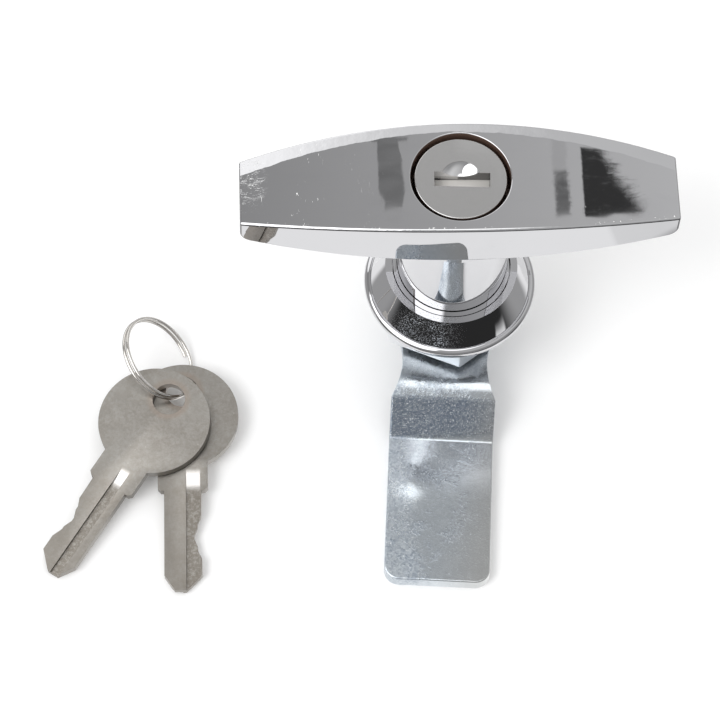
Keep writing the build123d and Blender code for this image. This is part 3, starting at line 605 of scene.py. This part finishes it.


# Keys: worn nickel plate, browned by hands, with a milled groove whose run-out is bright cut metal with a
# painted highlight. Places are measured from the middle of a key's hole, along the key, whose blade points
# towards minus y.

nickelLook = {
    "colour": (0.345, 0.33, 0.305, 1), "rubbed": (0.45, 0.44, 0.42, 1), "brown": (0.25, 0.225, 0.195, 1),
    "copper": (0.34, 0.27, 0.22, 1), "cutMetalAndHighlight": (0.66, 0.64, 0.62, 1), "spot": (0.62, 0.59, 0.54, 1),
    "rough": 0.30, "depth": 0.00003,
    "held": (-0.026, -0.016),                # the blade is browner than the bow
    "grooveEnd": (-0.0195, -0.0180), "runout": (-0.0232, -0.0215), "grooveFade": 0.00008,
    "rubbedRing": (0.0030, 0.0046, 0.0006),  # plating worn thin round the hole
    "mottleSize": 330.0, "cloudSize": 75.0, "fineSize": 1500.0, "lineSize": 3000.0, "fleckSize": 900.0,
}

keys = {
    "key_1": {
        "pivot": (-0.0605931, -0.0201612, -0.0148166), "turn": (6.53, -0.73, -33.955),
        "grooveLow": 0.0001, "grooveHigh": 0.0022,
    },
    "key_2": {
        "pivot": (-0.0577908, -0.0170972, -0.0173033), "turn": (3.4, -1.82, -0.079),
        "grooveLow": 0.00065, "grooveHigh": 0.00365,
    },
}


def makeNickel(name, look, spot):
    finish = Finish(name)
    where = finish.place(spot["pivot"], spot["turn"])
    x, y = finish.axes(where)[:2]
    mottle = finish.noise(where, look["mottleSize"], 6.0, 0.7)
    cloud = finish.noise(where, look["cloudSize"], 3.0)
    fine = finish.noise(where, look["fineSize"], 3.0, 0.7)
    lines = finish.noise(finish.stretch(where, (1, 0.05, 1)), look["lineSize"], 3.0)
    fleck = 1 - finish.cells(where, look["fleckSize"]).step(0.05, 0.10)
    fleck = fleck * finish.noise(where, 240.0).step(0.52, 0.62)
    groove = x.within(spot["grooveLow"], spot["grooveHigh"], look["grooveFade"])
    groove = groove * (1 - y.step(*look["grooveEnd"]))
    runout = groove * y.step(*look["runout"])
    milled = groove - runout
    rubbed = fromAxis(x, y).within(*look["rubbedRing"])
    held = 1 - y.step(*look["held"])
    colour = finish.mix((cloud * 1.5 - 0.35).clipped(), look["colour"], look["brown"])
    colour = finish.mix((mottle * 1.4 + fine * 1.4 - 1.2).clipped() * 0.8, colour, look["rubbed"])
    colour = finish.mix(held * 0.35 + milled * (1 - fine.step(0.35, 0.6)) * 0.55, colour, look["brown"])
    colour = finish.mix(rubbed * mottle * 0.8, colour, look["copper"])
    colour = finish.mix(fleck * 0.8 + milled * fine.step(0.5, 0.6) * 0.25, colour, look["spot"])
    # painted highlight on the groove's sloped run-out, over bright cut metal
    colour = finish.mix(runout, colour, look["cutMetalAndHighlight"])
    rough = look["rough"] + mottle * 0.14 + milled * 0.06 - runout * 0.20
    height = (lines * 0.5 + mottle + fine * 0.8 + fleck * 0.4) * (1 - runout * 0.8)
    values = {"Base Color": colour, "Roughness": rough}
    return finish.surface(values, height, look["depth"], {"Metallic": 1.0})


# Plug and its face: fine satin, with a brighter hollow and a dark slot

satinLook = {
    "colour": (0.66, 0.655, 0.65, 1), "shade": (0.55, 0.545, 0.54, 1), "bright": (0.86, 0.86, 0.87, 1),
    "slotShade": 0.06, "rough": 0.15, "depth": 0.000006,
    "hollowTop": (0.04323, 0.04331), "hollowFloor": (0.0415, 0.0416),
    "hollowRim": (0.0070, 0.0071), "hollowFront": (0.00153, 0.00157),
    "slotSides": (-0.00191, 0.00152, 0.00001), "slotTop": (0.0431, 0.0433),
    "mottleSize": 420.0, "ringSize": 4000.0,
}


def makeSatin(name, look):
    finish = Finish(name)
    here = finish.place()
    x, y, z = finish.axes(here)
    mottle = finish.noise(here, look["mottleSize"], 4.0, 0.6)
    rings = finish.noise(finish.point(fromAxis(x, y), 0.0, z), look["ringSize"], 2.0)
    hollow = (1 - z.step(*look["hollowTop"])) * z.step(*look["hollowFloor"])
    hollow = hollow * (1 - fromAxis(x, y).step(*look["hollowRim"])) * y.step(*look["hollowFront"])
    slot = y.within(*look["slotSides"]) * (1 - z.step(*look["slotTop"]))
    colour = finish.mix(mottle, look["colour"], look["shade"])
    colour = finish.mix(hollow, colour, look["bright"])
    colour = finish.mix(slot * 0.75, colour, grey(look["slotShade"]))
    plain = 1 - hollow * 0.8
    values = {"Base Color": colour, "Roughness": (look["rough"] + mottle * 0.10) * plain}
    return finish.surface(values, (mottle + rings * 0.5) * plain, look["depth"], {"Metallic": 1.0})


# Light strip in the slot: rolled steel, whose curl lies in the shade, painted into its colour as dark grey

shutterLook = {
    "colour": (0.66, 0.64, 0.61, 1), "shade": (0.56, 0.545, 0.52, 1), "curl": (0.10, 0.095, 0.09, 1),
    "rough": 0.3, "depth": 0.000006, "curlFrom": (0.0013, 0.0017),
}


def makeShutter(name, look):
    finish = Finish(name)
    here = finish.place()
    rolled = finish.noise(finish.stretch(here, (0.1, 1, 1)), 2500.0, 2.0)
    curl = finish.axes(here)[1].step(*look["curlFrom"])
    colour = finish.mix(rolled * 0.6, look["colour"], look["shade"])
    # painted shade: the curl is coloured dark grey
    colour = finish.mix(curl, colour, look["curl"])
    values = {"Base Color": colour, "Roughness": look["rough"] + rolled * 0.1, "Metallic": curl * 0.9}
    return finish.surface(values, rolled, look["depth"])


# Plain finishes of the small pieces

plainLooks = {
    "waferBrass": {"colour": (0.78, 0.60, 0.32, 1), "rough": 0.3, "metal": 1.0, "grain": 800.0},
    "springSteel": {"colour": (0.55, 0.55, 0.56, 1), "rough": 0.25, "metal": 1.0, "grain": 800.0},
    "blackRubber": {"colour": (0.03, 0.03, 0.03, 1), "rough": 0.6, "metal": 0.0, "grain": 800.0},
    "ringSteel": {"colour": (0.86, 0.83, 0.79, 1), "rough": 0.08, "metal": 1.0, "grain": 300.0},
}


def makePlain(name, look):
    finish = Finish(name)
    mottle = finish.noise(finish.place(), look["grain"], 3.0)
    dark = tuple(c * 0.75 for c in look["colour"][:3]) + (1,)
    colour = finish.mix(mottle, look["colour"], dark)
    values = {"Base Color": colour, "Roughness": mottle * 0.15 + look["rough"]}
    return finish.surface(values, mottle, 0.000006, {"Metallic": look["metal"]})


chromeHandle = makeChrome("chromeHandle", chromeLook, wearHandle, handleForm)
chromeHousing = makeChrome("chromeHousing", chromeLook, wearHousing, housingForm)
nut = makeNut("platedNut", nutLook)
zinc = makeZinc("zincPlate", zincLook)
satin = makeSatin("satinPlug", satinLook)
shutterStrip = makeShutter("shutterStrip", shutterLook)
brass, springSteel, rubber, ringSteel = (makePlain(name, look) for name, look in plainLooks.items())

finishes = {
    "t_handle": chromeHandle, "escutcheon_housing": chromeHousing, "hex_nut": nut,
    "cam": zinc, "stop_washer": zinc, "flat_washer": zinc, "spring_washer": zinc, "cam_screw": zinc,
    "lock_plug": satin, "plug_face": satin, "bolt_driver": satin, "locking_bolt": satin,
    "dust_shutter": shutterStrip, "shutter_pin": springSteel, "shutter_spring": springSteel,
    "plug_retaining_pin": springSteel, "stem_o_ring": rubber, "split_ring": ringSteel,
}
for number in range(1, 6):
    finishes[f"wafer_{number}"] = brass
    finishes[f"wafer_spring_{number}"] = springSteel
for name, spot in keys.items():
    finishes[name] = makeNickel(f"{name}_nickel", nickelLook, spot)
for name, material in finishes.items():
    nodes[name].data.materials.clear()
    nodes[name].data.materials.append(material)
print("finishes made:", len(finishes))


# Stamped and turned pieces whose sharp edges are broken, as tumbling and plating leave them

softEdges = {
    "hex_nut": {"width": 0.00022, "body": "housing", "slot": "chrome_nut"},
    "cam": {"width": 0.00018, "body": "handle", "slot": "zinc_steel"},
    "stop_washer": {"width": 0.00012, "body": "handle", "slot": "zinc_steel"},
    "flat_washer": {"width": 0.00012, "body": "handle", "slot": "zinc_steel"},
    "spring_washer": {"width": 0.00012, "body": "handle", "slot": "zinc_steel"},
    "plug_face": {"width": 0.00016, "body": "plug", "slot": "plug_satin"},
    "key_1": {"width": 0.00012, "body": "upper_key", "slot": "key_nickel"},
    "key_2": {"width": 0.00012, "body": "lower_key", "slot": "key_nickel"},
}
edges = {"flat": 0.5, "sharp": 30, "broken": 35, "segments": 2, "weld": 1e-6}    # angles in degrees


def mergedCopy(name, node, flatten):
    work = bmesh.new()
    work.from_mesh(nodes[node].data)
    bmesh.ops.remove_doubles(work, verts=work.verts, dist=edges["weld"])
    if flatten:
        flat = math.radians(edges["flat"])
        bmesh.ops.dissolve_limit(work, angle_limit=flat, verts=work.verts, edges=work.edges)
    work.verts.index_update()
    verts = [v.co[:] for v in work.verts]
    faces = [[v.index for v in f.verts] for f in work.faces]
    work.free()
    return meshObject(name, verts, faces, finishes[node], True)


def seat(piece, node, body):
    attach(piece, body)
    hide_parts(node)


def keepNormals(piece, source):  # corners that haven't moved keep the true normals of the turned forms
    known = {}
    mesh, old = piece.data, source.data
    for loop in old.loops:
        spot = tuple(round(c, 6) for c in old.vertices[loop.vertex_index].co)
        known.setdefault(spot, []).append(loop.normal.copy())
    shaded = [n.vector.copy() for n in mesh.corner_normals]
    for face in mesh.polygons:
        for i in face.loop_indices:
            spot = tuple(round(c, 6) for c in mesh.vertices[mesh.loops[i].vertex_index].co)
            near = max(known.get(spot, []), key=face.normal.dot, default=face.normal)
            if spot in known and near.dot(face.normal) > 0.9:
                shaded[i] = near
    mesh.normals_split_custom_set(shaded)


def breakEdges(node, look):
    piece = mergedCopy(f"{node}_softened", node, True)
    piece.data.set_sharp_from_angle(angle=math.radians(edges["sharp"]))
    bevel = piece.modifiers.new("edge", "BEVEL")
    bevel.width, bevel.segments = look["width"], edges["segments"]
    bevel.limit_method, bevel.angle_limit = "ANGLE", math.radians(edges["broken"])
    bevel.harden_normals = True
    settled(piece)
    keepNormals(piece, nodes[node])
    seat(piece, node, look["body"])


for node, look in softEdges.items():
    breakEdges(node, look)
print("edges broken on:", ", ".join(softEdges))


# Sleeve with its cut thread

thread = {
    "pitch": 0.0015, "depth": 0.0008, "crest": 0.0110, "facets": 72,
    "top": -0.0006, "bottom": -0.0099,
    "mouth": 0.46, "root": 0.07,      # half widths of the groove, in pitches
    "proud": 0.00012,                 # of the cutter above the crests
}


def makeThreadCutter(sizes):
    inputs = {key: sizes[key] for key in ("pitch", "depth", "crest", "facets")}
    inputs["length"] = sizes["top"] - sizes["bottom"]
    recipe = Recipe("threadCutter", inputs)
    size = recipe.sizes
    values = {
        "Resolution": size["facets"], "Rotations": size["length"] / size["pitch"],
        "Start Radius": size["crest"], "End Radius": size["crest"], "Height": size["length"],
    }
    helix = recipe.add("GeometryNodeCurveSpiral", None, values)
    upright = recipe.add("GeometryNodeSetCurveNormal", {"mode": "Z_UP"}, {"Curve": helix})
    mouth, root = size["pitch"] * sizes["mouth"], size["pitch"] * sizes["root"]
    corners = {
        "Point 1": recipe.point(sizes["proud"], mouth), "Point 2": recipe.point(sizes["proud"], -mouth),
        "Point 3": recipe.point(-size["depth"], -root), "Point 4": recipe.point(-size["depth"], root),
    }
    groove = recipe.add("GeometryNodeCurvePrimitiveQuadrilateral", {"mode": "POINTS"}, corners)
    values = {"Curve": upright, "Profile Curve": groove, "Fill Caps": True}
    recipe.end(recipe.add("GeometryNodeCurveToMesh", None, values), chromeHousing)
    cutter = recipe.make("threadCutter", inputs)
    cutter.data.transform(Matrix.Translation((0, 0, sizes["bottom"])))
    return cutter


def cutThread(sizes):
    sleeve = mergedCopy("housing_threaded", "escutcheon_housing", False)
    cutter = makeThreadCutter(sizes)
    cut = sleeve.modifiers.new("cut", "BOOLEAN")
    cut.operation, cut.solver, cut.object = "DIFFERENCE", "EXACT", cutter
    settled(sleeve)
    bpy.data.objects.remove(cutter)
    sleeve.data.set_sharp_from_angle(angle=math.radians(edges["sharp"]))
    keepNormals(sleeve, nodes["escutcheon_housing"])
    seat(sleeve, "escutcheon_housing", "housing")
    return sleeve


sleeve = cutThread(thread)
print("thread cut:", len(sleeve.data.polygons), "faces")


# Coil springs of the wafers and of the dust shutter

springs = {
    "waferWire": 0.00014, "waferTurns": 9.0,
    "shutterWire": 0.00016, "shutterTurns": 5.0,
    "turnSteps": 14, "wireSides": 6,
    "plugTurn": -2.5,          # degrees, as the plug stands at rest
}


def springRecipe(sizes):
    inputs = {"radius": 0.0005, "length": 0.003, "wire": sizes["waferWire"], "turns": sizes["waferTurns"]}
    recipe = Recipe("coilSpring", dict(inputs, count=1, spacing=0.0))
    size = recipe.sizes
    halfWire = size["wire"] * 0.5
    middle = size["radius"] - halfWire
    values = {
        "Resolution": sizes["turnSteps"], "Rotations": size["turns"],
        "Start Radius": middle, "End Radius": middle, "Height": size["length"] - size["wire"],
    }
    coil = recipe.add("GeometryNodeCurveSpiral", None, values)
    values = {"Resolution": sizes["wireSides"], "Radius": halfWire}
    wire = recipe.add("GeometryNodeCurvePrimitiveCircle", {"mode": "RADIUS"}, values)
    values = {"Curve": coil, "Profile Curve": wire, "Fill Caps": True}
    tube = recipe.add("GeometryNodeCurveToMesh", None, values)
    values = {"Geometry": tube, "Rotation": (0, math.radians(90), 0), "Translation": recipe.point(halfWire)}
    lying = recipe.add("GeometryNodeTransform", None, values)
    values = {"Count": size["count"], "Offset": recipe.point(0.0, 0.0, -size["spacing"])}
    row = recipe.add("GeometryNodeMeshLine", {"mode": "OFFSET"}, values)
    values = {"Points": row, "Instance": lying}
    recipe.end(recipe.add("GeometryNodeInstanceOnPoints", None, values), springSteel)
    return recipe


def windSprings(sizes):
    recipe = springRecipe(sizes)
    rows = {
        "wafer_springs": [f"wafer_spring_{n}" for n in range(1, 6)],
        "shutter_spring_coil": ["shutter_spring"],
    }
    for name, replaced in rows.items():
        kind = "wafer" if len(replaced) > 1 else "shutter"
        boxes = [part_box(n) for n in replaced]
        low, high = boxes[0]
        middle = (low + high) / 2
        spacing = boxes[0][0].z - boxes[1][0].z if len(boxes) > 1 else 0.0
        turn = math.radians(sizes["plugTurn"])
        radius = (high.z - low.z) / 2
        length = (high.x - low.x - 2 * radius * abs(math.sin(turn))) / math.cos(turn)
        values = {
            "radius": radius, "wire": sizes[kind + "Wire"], "length": length, "turns": sizes[kind + "Turns"],
            "count": len(replaced), "spacing": spacing,
        }
        piece = recipe.make(name, values)
        start = middle - Vector((math.cos(turn), math.sin(turn), 0)) * length / 2
        piece.data.transform(Matrix.Translation(start) @ Matrix.Rotation(turn, 4, "Z"))
        piece.data.polygons.foreach_set("use_smooth", [True] * len(piece.data.polygons))
        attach(piece, "plug")
        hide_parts(*replaced)


windSprings(springs)
print("springs wound")
